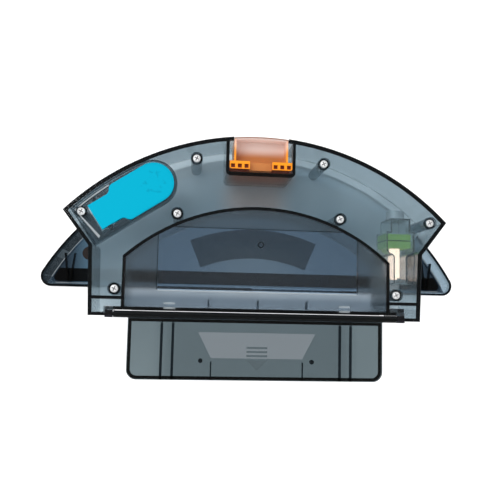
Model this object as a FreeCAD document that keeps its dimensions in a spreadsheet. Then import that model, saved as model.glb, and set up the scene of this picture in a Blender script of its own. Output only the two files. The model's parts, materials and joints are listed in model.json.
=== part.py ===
import FreeCAD, Part
import math
import os
from types import SimpleNamespace
import Sketcher

# Water tank and dust box of a robot vacuum, with its mopping plate.
# X runs across, +Y to the rear arc, +Z up. Plans are drawn about the robot's centre and then
# shifted along Y, so that the origin is the middle of the underside.

SIZES = (
    # Plan of the tank
    ("arc_radius", 170.0),
    ("corner_half", 122.0),
    ("waist_half", 105.7),
    ("waist_y", 96.9),
    ("ear_half", 104.1),
    ("ear_front", 54.1),
    ("ear_step", 93.0),
    ("mouth_y", 57.8),
    ("mouth_half", 76.0),
    ("arch_radius", 124.5),
    ("arch_half", 84.7),
    ("cross_wall_y", 64.2),
    # Levels and walls
    ("tank_bottom", 6.8),
    ("wall", 2.0),
    ("tank_depth", 36.4),
    ("seal_thick", 0.8),
    ("lip_reach", 0.2),
    ("cover_thick", 2.0),
    ("running_gap", 0.3),
    ("lap", 0.3),
    # Screws and their bosses
    ("rear_screw_x", 41.0),
    ("rear_screw_y", 154.3),
    ("corner_screw_x", 111.7),
    ("corner_screw_y", 118.1),
    ("mid_screw_x", 52.1),
    ("mid_screw_y", 118.6),
    ("front_screw_x", 89.2),
    ("front_screw_y", 70.6),
    ("boss_radius", 3.6),
    ("slim_boss_radius", 2.4),
    ("cover_boss_radius", 4.1),
    ("cover_boss_drop", 2.0),
    ("screw_radius", 1.2),
    ("screw_length", 9.0),
    ("head_radius", 2.4),
    ("head_height", 1.6),
    ("head_seat", 1.4),
    ("recess_radius", 3.3),
    ("pilot_gap", 0.05),
    # Filler tray and plug, in a frame turned along the plug
    ("plug_angle", 33.6),
    ("head_u", 19.8),
    ("head_gap", 0.4),
    ("tray_depth", 5.0),
    ("tray_wall", 1.6),
    ("tray_corner_inset", 6.0),
    ("tray_waist_inset", 5.2),
    ("filler_radius", 8.5),
    ("neck_wall", 1.7),
    ("neck_length", 5.0),
    ("plug_thick", 4.0),
    ("plug_head_radius", 12.75),
    ("plug_tail_half", 8.65),
    ("plug_tail_length", 5.1),
    ("shoulder_reach", 29.2),
    ("plug_shoulder_run", 7.0),
    ("skirt_drop", 5.2),
    ("skirt_taper", 0.9),
    ("skirt_wall", 1.1),
    ("pin_reach", 37.0),
    ("pin_radius", 1.2),
    ("lug_thick", 2.5),
    ("lug_half", 2.0),
    ("pin_gap", 0.04),
    ("well_reach", 5.9),
    ("well_head_reach", 3.5),
    ("tray_skirting", 1.8),
    ("tray_rib_inset", 0.9),
    ("tray_rib_width", 0.8),
    ("tray_rib_end", 95.0),
    ("tray_rib_drop", 1.0),
    # Latch pocket and latch
    ("latch_half", 20.4),
    ("latch_front", 146.4),
    ("latch_corner", 1.2),
    ("latch_floor", 20.0),
    ("latch_travel", 2.0),
    ("latch_bar", 5.0),
    ("latch_side_half", 17.3),
    ("latch_wall", 1.2),
    ("latch_inset", 0.2),
    ("frame_drop", 1.0),
    ("middle_drop", 5.0),
    ("bar_drop", 6.0),
    ("grip_inner", 7.2),
    ("grip_drop", 0.6),
    ("grip_pocket", 2.6),
    ("grip_pocket_depth", 1.6),
    ("grip_lip", 0.6),
    ("grip_band", 1.8),
    ("pad_level", 35.0),
    ("pad_thick", 1.5),
    ("seat_drop", 0.5),
    ("stop_height", 6.0),
    ("spring_x", 9.0),
    ("spring_level", 27.0),
    ("spring_radius", 2.2),
    ("spring_wire", 0.35),
    ("spring_seat_y", 157.5),
    # Door, its hinge rod and seal
    ("hinge_y", 55.2),
    ("rod_radius", 2.1),
    ("rod_half", 88.8),
    ("door_pin_radius", 1.2),
    ("block_width", 3.8),
    ("block_depth", 4.2),
    ("door_half", 80.0),
    ("door_length", 39.5),
    ("door_thick", 1.8),
    ("door_below", 1.5),
    ("door_corner", 6.2),
    ("door_rim", 0.2),
    ("door_rib", 1.0),
    ("outer_rib_x", 59.2),
    ("inner_rib_x", 52.3),
    ("door_rib_width", 1.6),
    ("panel_top_half", 36.8),
    ("panel_low_half", 28.6),
    ("panel_top", 10.2),
    ("panel_low", 26.0),
    ("panel_sink", 0.5),
    ("arrow_half", 6.5),
    ("arrow_length", 7.5),
    ("arrow_gap", 1.0),
    ("arrow_bar", 1.2),
    ("arrow_step", 2.5),
    ("peg_drop", 1.8),
    ("peg_length", 1.5),
    ("peg_x", 35.0),
    ("peg_radius", 1.4),
    ("door_seal_width", 1.9),
    ("door_seal_thick", 0.8),
    # Cover details
    ("window_half", 63.0),
    ("window_front", 70.5),
    ("window_rear", 109.8),
    ("window_sink", 0.3),
    ("front_rib_x", 31.0),
    ("front_rib_length", 5.0),
    ("front_rib_drop", 3.0),
    ("clip_x", 55.0),
    ("clip_half", 3.6),
    ("clip_slot_start", 1.0),
    ("clip_slot_step", 3.0),
    ("clip_slot_width", 1.2),
    # Mopping plate
    ("plate_radius", 164.0),
    ("plate_front", 72.0),
    ("plate_corner", 7.0),
    ("plate_height", 6.5),
    ("plate_wall", 1.5),
    ("plate_skin", 2.0),
    ("band_side", 6.5),
    ("band_front", 2.4),
    ("band_corner", 4.0),
    ("step_height", 1.6),
    ("pad_outer", 114.5),
    ("pad_inner", 94.5),
    ("pad_half_angle", 22.5),
    ("pad_height", 2.2),
    ("wing_rib_width", 1.2),
    ("wing_rib_reach", 13.0),
    ("wing_rib_spread", 3.2),
    ("strip_depth", 9.0),
    ("strip_thick", 1.2),
    ("post_x", 111.0),
    ("post_y", 94.6),
    ("post_radius", 4.4),
    ("post_height", 6.0),
    # Pump
    ("pump_x", 96.6),
    ("case_neck_half", 6.8),
    ("case_wide_half", 9.6),
    ("case_narrow_half", 4.7),
    ("case_front", 78.4),
    ("case_narrow_length", 17.6),
    ("case_shoulder_run", 6.0),
    ("case_pump_gap", 0.4),
    ("case_neck_length", 8.9),
    ("case_wall", 1.0),
    ("case_height", 22.0),
    ("pump_half", 8.2),
    ("pump_height", 18.0),
    ("pump_body_length", 4.6),
    ("pump_cap_length", 3.9),
    ("diaphragm_thick", 0.8),
    ("diaphragm_inset", 1.0),
    ("motor_radius", 3.5),
    ("motor_length", 20.0),
    ("motor_boss", 1.0),
    ("inlet_radius", 6.2),
    ("inlet_length", 6.0),
    ("nozzle_radius", 2.4),
    ("nozzle_flange", 3.6),
    ("nozzle_bore", 1.0),
    ("nozzle_inset", 4.0),
    ("nozzle_lip", 1.0),
    ("nozzle_clear", 1.2),
    # Contacts in the right ear
    ("contact_x", 97.4),
    ("contact_half", 2.2),
    ("contact_depth", 6.0),
    ("contact_height", 20.0),
    ("contact_pin_radius", 1.0),
    ("contact_low", 16.0),
    ("contact_high", 24.0),
)

SHEET_NAME = "Sizes"
SPRING_TURNS = 3
WIRE_SIDES = 4


class Dim:
    """A length now, together with the sheet expression that it follows."""

    def __init__(self, number, text):
        self.number = number
        self.text = text

    def __add__(self, other):
        other = as_dim(other)
        return Dim(self.number + other.number, f"({self.text} + {other.text})")

    def __sub__(self, other):
        other = as_dim(other)
        return Dim(self.number - other.number, f"({self.text} - {other.text})")

    def __mul__(self, other):
        other = as_dim(other)
        return Dim(self.number * other.number, f"({self.text} * {other.text})")

    def __truediv__(self, other):
        other = as_dim(other)
        return Dim(self.number / other.number, f"({self.text} / {other.text})")

    def __radd__(self, other):
        return as_dim(other) + self

    def __rsub__(self, other):
        return as_dim(other) - self

    def __rmul__(self, other):
        return as_dim(other) * self

    def __neg__(self):
        return as_dim(0.0) - self


def as_dim(value):
    if isinstance(value, Dim):
        return value
    return Dim(float(value), f"({float(value)})")


def root(value):
    return Dim(math.sqrt(value.number), f"sqrt({value.text})")


def sine(angle):
    return Dim(math.sin(math.radians(angle.number)), f"sin({angle.text})")


def cosine(angle):
    return Dim(math.cos(math.radians(angle.number)), f"cos({angle.text})")


def on_arc(radius, x):
    """The Y of an arc about the robot's centre, at x."""
    return root(radius * radius - x * x)


doc = FreeCAD.newDocument("Tank")
sheet = doc.addObject("Spreadsheet::Sheet", SHEET_NAME)
for row, (size_name, size_value) in enumerate(SIZES, start=1):
    sheet.set(f"A{row}", size_name)
    sheet.set(f"B{row}", str(size_value))
    sheet.setAlias(f"B{row}", size_name)
doc.recompute()
s = SimpleNamespace(**{name: Dim(value, f"{SHEET_NAME}.{name}") for name, value in SIZES})

# Levels and places that several pieces share
wall_top = s.tank_bottom + s.tank_depth
floor_top = s.tank_bottom + s.wall
cover_low = wall_top + s.seal_thick
top = cover_low + s.cover_thick
boss_top = cover_low - s.cover_boss_drop
tray_floor = top - s.tray_depth
tray_low = tray_floor - s.tray_wall
hinge_z = top - s.rod_radius
free_edge = s.hinge_y - s.door_length
shift_y = -(s.arc_radius + free_edge) / 2
corner_y = on_arc(s.arc_radius, s.corner_half)
filler_low = tray_low - s.neck_length
pin_z = tray_floor + s.running_gap + s.plug_thick / 2
tray_radius = s.plug_head_radius + s.head_gap
tray_rim = s.arc_radius - s.wall - s.running_gap
plug_v = root(tray_rim * tray_rim - s.head_u * s.head_u) - tray_radius - s.tray_wall
pin_u = s.head_u - s.pin_reach
shoulder_u = s.head_u - s.shoulder_reach
case_shoulder = s.case_front + s.case_narrow_length
case_wide_y = case_shoulder + s.case_shoulder_run
pump_start = case_wide_y + s.case_wall
pump_length = s.pump_body_length + s.diaphragm_thick + s.pump_cap_length
case_neck_y = pump_start + pump_length + s.case_pump_gap + s.case_wall
case_rear = case_neck_y + s.case_neck_length
nozzle_y = pump_start + s.nozzle_inset
latch_bar_front = s.latch_front + s.latch_travel + s.running_gap
grip_half = s.latch_half - s.running_gap
grip_top = top - s.grip_drop
BOTH = (-1, 1)

# The left corner's screw stands in the filler tray, the other seven in the flat of the cover
TRAY_SCREW = (-s.corner_screw_x, s.corner_screw_y)
FLAT_SCREWS = [(s.corner_screw_x, s.corner_screw_y)]
for side in BOTH:
    FLAT_SCREWS.append((side * s.rear_screw_x, s.rear_screw_y))
    FLAT_SCREWS.append((side * s.mid_screw_x, s.mid_screw_y))
    FLAT_SCREWS.append((side * s.front_screw_x, s.front_screw_y))


def plug_point(u, v):
    """A place in the plug's turned frame, given in the robot's."""
    u = as_dim(u)
    v = as_dim(v)
    turn_cos = cosine(s.plug_angle)
    turn_sin = sine(s.plug_angle)
    return (u * turn_cos - v * turn_sin, u * turn_sin + v * turn_cos)


def bind(item, prop, value):
    item.setExpression(prop, as_dim(value).text)


def place(item, x, y, z, yaw=0, pitch=0, roll=0):
    """Ties an object's whole placement to the sheet; a turn is yaw, pitch and roll in degrees."""
    spot = "; ".join(as_dim(value).text for value in (x, y, z))
    turn = "; ".join(as_dim(value).text for value in (yaw, pitch, roll))
    vector = f"create(<<vector>>; {spot})"
    rotation = f"create(<<rotation>>; {turn})"
    item.setExpression("Placement", f"create(<<placement>>; {vector}; {rotation})")


def new_body(label, yaw=0):
    made = doc.addObject("PartDesign::Body", label)
    made.Label = label
    place(made, 0, shift_y, 0, yaw)
    return made


def new_sketch(body, name, level):
    """An empty sketch on the body's XY plane, raised to a level."""
    planes = [item for item in body.Origin.OriginFeatures if item.Role == "XY_Plane"]
    sketch = body.newObject("Sketcher::SketchObject", f"{body.Label}_{name}_sketch")
    sketch.AttachmentSupport = (planes[0], [""])
    sketch.MapMode = "FlatFace"
    bind(sketch, "AttachmentOffset.Base.z", level)
    return sketch


def hold(sketch, kind, where, value):
    """Adds one driving constraint and ties it to the sheet."""
    index = sketch.addConstraint(Sketcher.Constraint(kind, *where, as_dim(value).number))
    label = f"{kind}_{index}"
    sketch.renameConstraint(index, label)
    bind(sketch, f"Constraints.{label}", value)


def add_loop(sketch, points, arcs=None):
    """A closed loop through points. arcs maps an edge's number to (radius, turn): turn 1 is
    anticlockwise about the arc's centre, -1 clockwise."""
    arcs = arcs or {}
    points = [(as_dim(x), as_dim(y)) for x, y in points]
    spots = [FreeCAD.Vector(x.number, y.number, 0) for x, y in points]
    ends = []
    for number, start in enumerate(spots):
        finish = spots[(number + 1) % len(spots)]
        if number in arcs:
            radius, turn = arcs[number]
            radius = as_dim(radius)
            edge = arc_between(start, finish, radius.number, turn)
            index = sketch.addGeometry(edge, False)
            hold(sketch, "Radius", (index,), radius)
            ends.append((index, 1, 2) if turn > 0 else (index, 2, 1))
        else:
            index = sketch.addGeometry(Part.LineSegment(start, finish), False)
            ends.append((index, 1, 2))
    for number, (x, y) in enumerate(points):
        index, first, _ = ends[number]
        before, _, last = ends[number - 1]
        sketch.addConstraint(Sketcher.Constraint("Coincident", before, last, index, first))
        hold(sketch, "DistanceX", (index, first), x)
        hold(sketch, "DistanceY", (index, first), y)


def arc_between(start, finish, radius, turn):
    middle = (start + finish) * 0.5
    chord = finish - start
    height = math.sqrt(max(radius * radius - chord.Length ** 2 / 4, 0.0))
    side = FreeCAD.Vector(-chord.y, chord.x, 0).normalize()
    centre = middle + side * height * turn
    first, last = (start, finish) if turn > 0 else (finish, start)
    angles = [math.atan2(spot.y - centre.y, spot.x - centre.x) for spot in (first, last)]
    circle = Part.Circle(centre, FreeCAD.Vector(0, 0, 1), radius)
    return Part.ArcOfCircle(circle, angles[0], angles[1])


def add_circle(sketch, x, y, radius):
    x, y, radius = as_dim(x), as_dim(y), as_dim(radius)
    centre = FreeCAD.Vector(x.number, y.number, 0)
    circle = Part.Circle(centre, FreeCAD.Vector(0, 0, 1), radius.number)
    index = sketch.addGeometry(circle, False)
    hold(sketch, "Radius", (index,), radius)
    hold(sketch, "DistanceX", (index, 3), x)
    hold(sketch, "DistanceY", (index, 3), y)


def rectangle(low_x, low_y, high_x, high_y):
    return [(low_x, low_y), (high_x, low_y), (high_x, high_y), (low_x, high_y)]


def mirrored(points):
    """The points of a right half, front to rear, followed by their mirror images."""
    return list(points) + [(-as_dim(x), y) for x, y in reversed(points)]


def finish_feature(body, kind, name, sketch, length, upwards):
    feature = body.newObject(f"PartDesign::{kind}", f"{body.Label}_{name}")
    feature.Profile = sketch
    bind(feature, "Length", length)
    points_up = kind == "Pad"
    feature.Reversed = points_up != upwards
    return feature


def pad(body, name, level, length, loops=(), circles=()):
    """Adds material from a level upwards."""
    return extrude(body, "Pad", name, level, length, loops, circles, True)


def pocket(body, name, level, length, loops=(), circles=(), upwards=False):
    """Removes material from a level downwards, or upwards."""
    return extrude(body, "Pocket", name, level, length, loops, circles, upwards)


def extrude(body, kind, name, level, length, loops, circles, upwards):
    sketch = new_sketch(body, name, level)
    for loop in loops:
        add_loop(sketch, *loop)
    for circle in circles:
        add_circle(sketch, *circle)
    return finish_feature(body, kind, name, sketch, length, upwards)


def round_tool(body, kind, name, radius, length, spot, turn=(0, 0, 0)):
    """An added or removed cylinder inside a body."""
    tool = body.newObject(f"PartDesign::{kind}Cylinder", f"{body.Label}_{name}")
    bind(tool, "Radius", radius)
    bind(tool, "Height", length)
    place(tool, *spot, *turn)
    return tool


def box(label, corner, size):
    made = doc.addObject("Part::Box", label)
    for prop, value in zip(("Length", "Width", "Height"), size):
        bind(made, prop, value)
    x, y, z = corner
    place(made, x, y + shift_y, z)
    return made


def cylinder(label, radius, length, spot, turn=(0, 0, 0)):
    made = doc.addObject("Part::Cylinder", label)
    bind(made, "Radius", radius)
    bind(made, "Height", length)
    x, y, z = spot
    place(made, x, y + shift_y, z, *turn)
    return made


def joined(label, kind, pieces):
    """A boolean of several objects: Part::MultiFuse, Part::MultiCommon or Part::Compound."""
    made = doc.addObject(f"Part::{kind}", label)
    if kind == "Compound":
        made.Links = pieces
    else:
        made.Shapes = pieces
    made.Label = label
    return made


def cut(label, base, tool):
    made = doc.addObject("Part::Cut", label)
    made.Base = base
    made.Tool = tool
    made.Label = label
    return made


ALONG_X = (0, 90, 0)
ALONG_Y = (0, 0, -90)


def tank_plan():
    half = [
        (s.ear_step, s.mouth_y),
        (s.ear_step, s.ear_front),
        (s.ear_half, s.ear_front),
        (s.waist_half, s.waist_y),
        (s.corner_half, corner_y),
    ]
    return mirrored(half), {4: (s.arc_radius, 1)}


def latch_plan(half, front, corner, rear_radius):
    """The U of the latch pocket, round at its front corners and ending at an arc."""
    half_points = [
        (half - corner, front),
        (half, front + corner),
        (half, on_arc(rear_radius, half)),
    ]
    return mirrored(half_points), {0: (corner, 1), 2: (rear_radius, 1), 4: (corner, 1)}


def latch_opening():
    """The latch's way through the outer wall, behind its pocket."""
    half = s.latch_side_half + s.running_gap
    return rectangle(-half, s.arc_radius - 2 * s.wall, half, s.arc_radius + s.wall)


def tray_plan(grow, corner_inset, waist_inset):
    """The sunken filler tray: round about the plug's head, along the rim arc to the corner, down
    the side and back along the plug's lower edge."""
    radius = tray_radius + grow
    low_v = plug_v - radius
    high_v = plug_v + radius
    rim_radius = root(s.head_u * s.head_u + high_v * high_v)
    corner_x = -(s.corner_half - corner_inset)
    waist_x = -(s.waist_half - waist_inset)
    waist_edge = (low_v + waist_x * sine(s.plug_angle)) / cosine(s.plug_angle)
    points = [
        plug_point(s.head_u, low_v),
        plug_point(s.head_u + radius, plug_v),
        plug_point(s.head_u, high_v),
        (corner_x, on_arc(rim_radius, corner_x)),
        (waist_x, waist_edge),
    ]
    return points, {0: (radius, 1), 1: (radius, 1), 2: (rim_radius, 1)}


def tray_rib():
    """A thin rib inside the tray that follows the rim arc and the tray's outer side."""
    edges = []
    for inset in (s.tray_rib_inset, s.tray_rib_inset + s.tray_rib_width):
        radius = tray_rim - s.tray_wall - inset
        corner_x = -(s.corner_half - s.tray_corner_inset - inset)
        waist_x = -(s.waist_half - s.tray_waist_inset - inset)
        low_v = plug_v - tray_radius + inset
        edges.append([
            (-s.tray_rib_end, on_arc(radius, s.tray_rib_end)),
            (corner_x, on_arc(radius, corner_x)),
            (waist_x, (low_v + waist_x * sine(s.plug_angle)) / cosine(s.plug_angle)),
        ])
    outer, inner = edges
    outer_radius = tray_rim - s.tray_wall - s.tray_rib_inset
    arcs = {0: (outer_radius, 1), 4: (outer_radius - s.tray_rib_width, -1)}
    return outer + inner[::-1], arcs


def turned_rectangle(low_u, low_v, high_u, high_v):
    return [plug_point(u, v) for u, v in rectangle(low_u, low_v, high_u, high_v)]


def make_tank_base():
    """Lower shell: one moulding with the outer wall, arch wall, ear boxes, bosses, latch pocket
    and hinge blocks."""
    body = new_body("tank_base")
    block = pad(body, "block", s.tank_bottom, s.tank_depth, [tank_plan()])
    doc.recompute()
    heights = [face.CenterOfMass.z for face in block.Shape.Faces]
    shell = body.newObject("PartDesign::Thickness", "tank_base_shell")
    shell.Base = (block, [f"Face{heights.index(max(heights)) + 1}"])
    bind(shell, "Value", s.wall)
    shell.Reversed = True
    shell.Join = 1
    wall_height = wall_top - s.tank_bottom - s.wall / 2
    low = s.tank_bottom + s.wall / 2
    inner_radius = s.arch_radius - s.wall
    inner_half = s.arch_half - s.wall
    outer = [(s.arch_half, s.mouth_y + s.wall / 2), (s.arch_half, on_arc(s.arch_radius, s.arch_half))]
    inner = [(inner_half, s.mouth_y + s.wall / 2), (inner_half, on_arc(inner_radius, inner_half))]
    arch = mirrored(outer) + [(-x, y) for x, y in mirrored(inner)]
    arch_arcs = {1: (s.arch_radius, 1), 5: (inner_radius, -1)}
    pad(body, "arch", low, wall_height, [(arch, arch_arcs)])
    for side in BOTH:
        near = side * (s.arch_half - s.wall / 2)
        far = side * (s.ear_half - s.wall / 2)
        edges = (near, far) if side > 0 else (far, near)
        cross = rectangle(edges[0], s.cross_wall_y, edges[1], s.cross_wall_y + s.wall)
        pad(body, f"cross_{'right' if side > 0 else 'left'}", low, wall_height, [(cross,)])
    outer_half = s.latch_half + s.wall
    outer_front = s.latch_front - s.wall
    outer_corner = s.latch_corner + s.wall
    rear = s.arc_radius - s.wall / 2
    pad(body, "latch_wall", low, wall_height, [latch_plan(outer_half, outer_front, outer_corner, rear)])
    inside = latch_plan(s.latch_half, s.latch_front, s.latch_corner, s.arc_radius - s.wall)
    latch_depth = wall_top - s.latch_floor
    pocket(body, "latch_pocket", wall_top, latch_depth, [inside])
    pocket(body, "latch_opening", wall_top, latch_depth, [(latch_opening(),)])
    core_depth = s.latch_floor - s.wall - s.tank_bottom
    pocket(body, "latch_core", s.tank_bottom, core_depth, [inside], upwards=True)
    mouth = rectangle(-s.mouth_half, s.mouth_y - s.wall, s.mouth_half, s.mouth_y + 1.5 * s.wall)
    pocket(body, "mouth", wall_top, wall_top - floor_top, [(mouth,)])
    bosses = [(x, y, s.boss_radius) for x, y in FLAT_SCREWS]
    pad(body, "bosses", low, boss_top - low, circles=bosses)
    pad(body, "corner_boss", low, tray_low - low, circles=[(*TRAY_SCREW, s.slim_boss_radius)])
    pilot = s.screw_radius + s.pilot_gap
    pilots = [(x, y, pilot) for x, y in FLAT_SCREWS]
    pocket(body, "pilots", boss_top, s.screw_length, circles=pilots)
    pocket(body, "corner_pilot", tray_low, s.screw_length, circles=[(*TRAY_SCREW, pilot)])
    for side in BOTH:
        word = "right" if side > 0 else "left"
        near = side * (s.ear_step - s.block_width)
        far = side * (s.ear_step + s.wall / 2)
        edges = (near, far) if side > 0 else (far, near)
        front = s.hinge_y - s.rod_radius
        block_plan = rectangle(edges[0], front, edges[1], s.mouth_y + s.wall)
        block_low = hinge_z - s.block_depth
        pad(body, f"hinge_block_{word}", block_low, top - block_low, [(block_plan,)])
    bore = s.door_pin_radius + s.pin_gap
    reach = s.ear_step + s.wall
    round_tool(body, "Subtractive", "hinge_bore", bore, 2 * reach, (-reach, s.hinge_y, hinge_z), ALONG_X)
    for side in BOTH:
        word = "right" if side > 0 else "left"
        near = side * (s.latch_side_half + s.running_gap)
        far = side * (s.latch_half + s.wall / 2)
        edges = (near, far) if side > 0 else (far, near)
        start = latch_bar_front + s.latch_bar + s.running_gap
        stop = rectangle(edges[0], start, edges[1], start + s.wall)
        stop_low = s.latch_floor - s.wall / 2
        pad(body, f"latch_stop_{word}", stop_low, s.stop_height + s.wall / 2, [(stop,)])
    nozzle = (s.pump_x, nozzle_y, s.nozzle_radius + s.pilot_gap)
    pocket(body, "outlet", floor_top, s.wall, circles=[nozzle])
    for word, level in (("low", s.contact_low), ("high", s.contact_high)):
        spot = (s.contact_x, s.ear_front, level)
        radius = s.contact_pin_radius + s.pilot_gap
        round_tool(body, "Subtractive", f"contact_{word}", radius, s.wall, spot, ALONG_Y)
    return body


def make_top_cover():
    """Cover: flat moulding with the sunken filler tray and neck, screw recesses, a polished
    window, and ribs and slots along its front edge."""
    body = new_body("top_cover")
    pad(body, "plate", cover_low, s.cover_thick, [tank_plan()])
    outer_corner = s.tray_corner_inset - s.tray_skirting
    outer_waist = s.tray_waist_inset - s.tray_skirting
    outer_tray = tray_plan(s.tray_wall, outer_corner, outer_waist)
    pad(body, "tray", tray_low, cover_low - tray_low + s.cover_thick / 2, [outer_tray])
    boss_height = s.cover_boss_drop + s.cover_thick / 2
    bosses = [(x, y, s.cover_boss_radius) for x, y in FLAT_SCREWS]
    pad(body, "bosses", boss_top, boss_height, circles=bosses)
    neck_x, neck_y = plug_point(s.head_u, plug_v)
    neck_radius = s.filler_radius + s.neck_wall
    neck = [(neck_x, neck_y, neck_radius)]
    pad(body, "neck", filler_low, s.neck_length + s.tray_wall / 2, circles=neck)
    well_low_u = pin_u - s.well_reach
    well_high_u = pin_u + s.well_head_reach
    well_low_v = plug_v - s.plug_tail_half - s.running_gap
    well_high_v = plug_v + s.plug_tail_half + s.running_gap
    skin = s.tray_wall / 2
    low_corner = (well_low_u - skin, well_low_v - skin)
    high_corner = (well_high_u + skin, well_high_v + skin)
    well_outer = turned_rectangle(*low_corner, *high_corner)
    well_floor = pin_z - s.well_reach
    well_bottom = well_floor - s.tray_wall
    pad(body, "well_wall", well_bottom, tray_low - well_bottom + skin, [(well_outer,)])
    ribs = []
    rib_half = s.wall / 4
    for step in (-1, 0, 1):
        x = step * s.front_rib_x
        start = s.mouth_y + s.wall + s.running_gap
        ribs.append((rectangle(x - rib_half, start, x + rib_half, start + s.front_rib_length),))
    pad(body, "front_ribs", cover_low - s.front_rib_drop, s.front_rib_drop + s.cover_thick / 2, ribs)
    inner_tray = tray_plan(0, s.tray_corner_inset, s.tray_waist_inset)
    pocket(body, "tray_hollow", top, s.tray_depth, [inner_tray])
    well_inner = turned_rectangle(well_low_u, well_low_v, well_high_u, well_high_v)
    pocket(body, "well", tray_floor, tray_floor - well_floor, [(well_inner,)])
    mouth = [(neck_x, neck_y, s.filler_radius)]
    pocket(body, "filler", tray_floor, tray_floor - filler_low, circles=mouth)
    notch = latch_plan(s.latch_half, s.latch_front, s.latch_corner, s.arc_radius - s.wall)
    pocket(body, "latch_notch", top, s.cover_thick, [notch])
    pocket(body, "latch_opening", top, s.cover_thick, [(latch_opening(),)])
    clear = s.screw_radius + s.pilot_gap
    head_depth = s.head_seat + s.head_height
    holes = [(x, y, clear) for x, y in FLAT_SCREWS]
    recesses = [(x, y, s.recess_radius) for x, y in FLAT_SCREWS]
    pocket(body, "recesses", top, head_depth, circles=recesses)
    pocket(body, "holes", top, top - boss_top, circles=holes)
    pocket(body, "corner_hole", tray_floor, s.tray_wall, circles=[(*TRAY_SCREW, clear)])
    window_radius = s.arch_radius - s.wall
    window_half = [
        (s.window_half, s.window_front),
        (s.window_half, on_arc(window_radius, s.window_half)),
        (on_arc(window_radius, s.window_rear), s.window_rear),
    ]
    window_arcs = {1: (window_radius, 1), 3: (window_radius, 1)}
    pocket(body, "window", top, s.window_sink, [(mirrored(window_half), window_arcs)])
    for side in BOTH:
        word = "right" if side > 0 else "left"
        near = side * (s.ear_step - s.block_width - s.running_gap)
        far = side * (s.ear_step + s.wall / 2 + s.running_gap)
        edges = (near, far) if side > 0 else (far, near)
        rear = s.mouth_y + s.wall + s.running_gap
        gap = rectangle(edges[0], s.ear_front - s.wall, edges[1], rear)
        pocket(body, f"hinge_notch_{word}", top, s.cover_thick, [(gap,)])
        centre = side * s.clip_x
        slots = []
        for number in range(2):
            start = s.mouth_y + s.clip_slot_start + number * s.clip_slot_step
            finish = start + s.clip_slot_width
            slot = rectangle(centre - s.clip_half, start, centre + s.clip_half, finish)
            slots.append((slot,))
        pocket(body, f"clip_slots_{word}", top, s.cover_thick / 2, slots)
    pad(body, "tray_rib", tray_floor - skin, top - s.tray_rib_drop - tray_floor + skin, [tray_rib()])
    head_room = s.head_radius + s.running_gap
    pocket(body, "corner_room", top, s.tray_depth, circles=[(*TRAY_SCREW, head_room)])
    lug_height = s.plug_thick + s.running_gap
    low_lug = plug_v - s.plug_tail_half - s.running_gap
    high_lug = plug_v + s.plug_tail_half + s.running_gap
    for word, low_v in (("low", low_lug - s.lug_thick), ("high", high_lug)):
        plan = turned_rectangle(pin_u - s.lug_half, low_v, pin_u + s.lug_half, low_v + s.lug_thick)
        pad(body, f"lug_{word}", tray_floor - skin, lug_height + skin, [(plan,)])
    pin_start = plug_point(pin_u, low_lug - s.lug_thick)
    length = high_lug - low_lug + 2 * s.lug_thick
    bore = s.pin_radius + s.pin_gap / 2
    turn = (s.plug_angle, 0, -90)
    round_tool(body, "Subtractive", "pin_bore", bore, length, (*pin_start, pin_z), turn)
    return body


def make_cover_gasket(base):
    """Seal: the wall tops' own outline, filling the step up to the cover, and a lip across the
    top of the mouth."""
    level = wall_top.number
    faces = [face for face in base.Shape.Faces if face.BoundBox.ZLength < 1e-6]
    tops = [face for face in faces if abs(face.CenterOfMass.z - level) < 1e-6]
    crown = max(tops, key=lambda face: face.Area)
    ring = crown.extrude(FreeCAD.Vector(0, 0, s.seal_thick.number))
    front = s.mouth_y - s.lip_reach + shift_y
    corner = FreeCAD.Vector(-(s.mouth_half + s.wall).number, front.number, level)
    span = 2 * (s.mouth_half + s.wall).number
    lip = Part.makeBox(span, (s.wall + s.lip_reach).number, s.seal_thick.number, corner)
    whole = ring.fuse(lip).removeSplitter()
    made = doc.addObject("Part::Feature", "cover_gasket")
    made.Label = "cover_gasket"
    made.Shape = whole
    return made


def make_cover_screws():
    """Eight cross-head screws as one group of separate solids."""
    seats = [(*TRAY_SCREW, tray_floor)]
    seats += [(x, y, top - s.head_seat - s.head_height) for x, y in FLAT_SCREWS]
    screws = []
    for number, (x, y, seat) in enumerate(seats):
        tip = seat - s.screw_length
        shank = cylinder(f"shank_{number}", s.screw_radius, s.screw_length, (x, y, tip))
        head = cylinder(f"head_{number}", s.head_radius, s.head_height, (x, y, seat))
        screws.append(joined(f"screw_{number}", "MultiFuse", [shank, head]))
    return joined("cover_screws", "Compound", screws)


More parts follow.
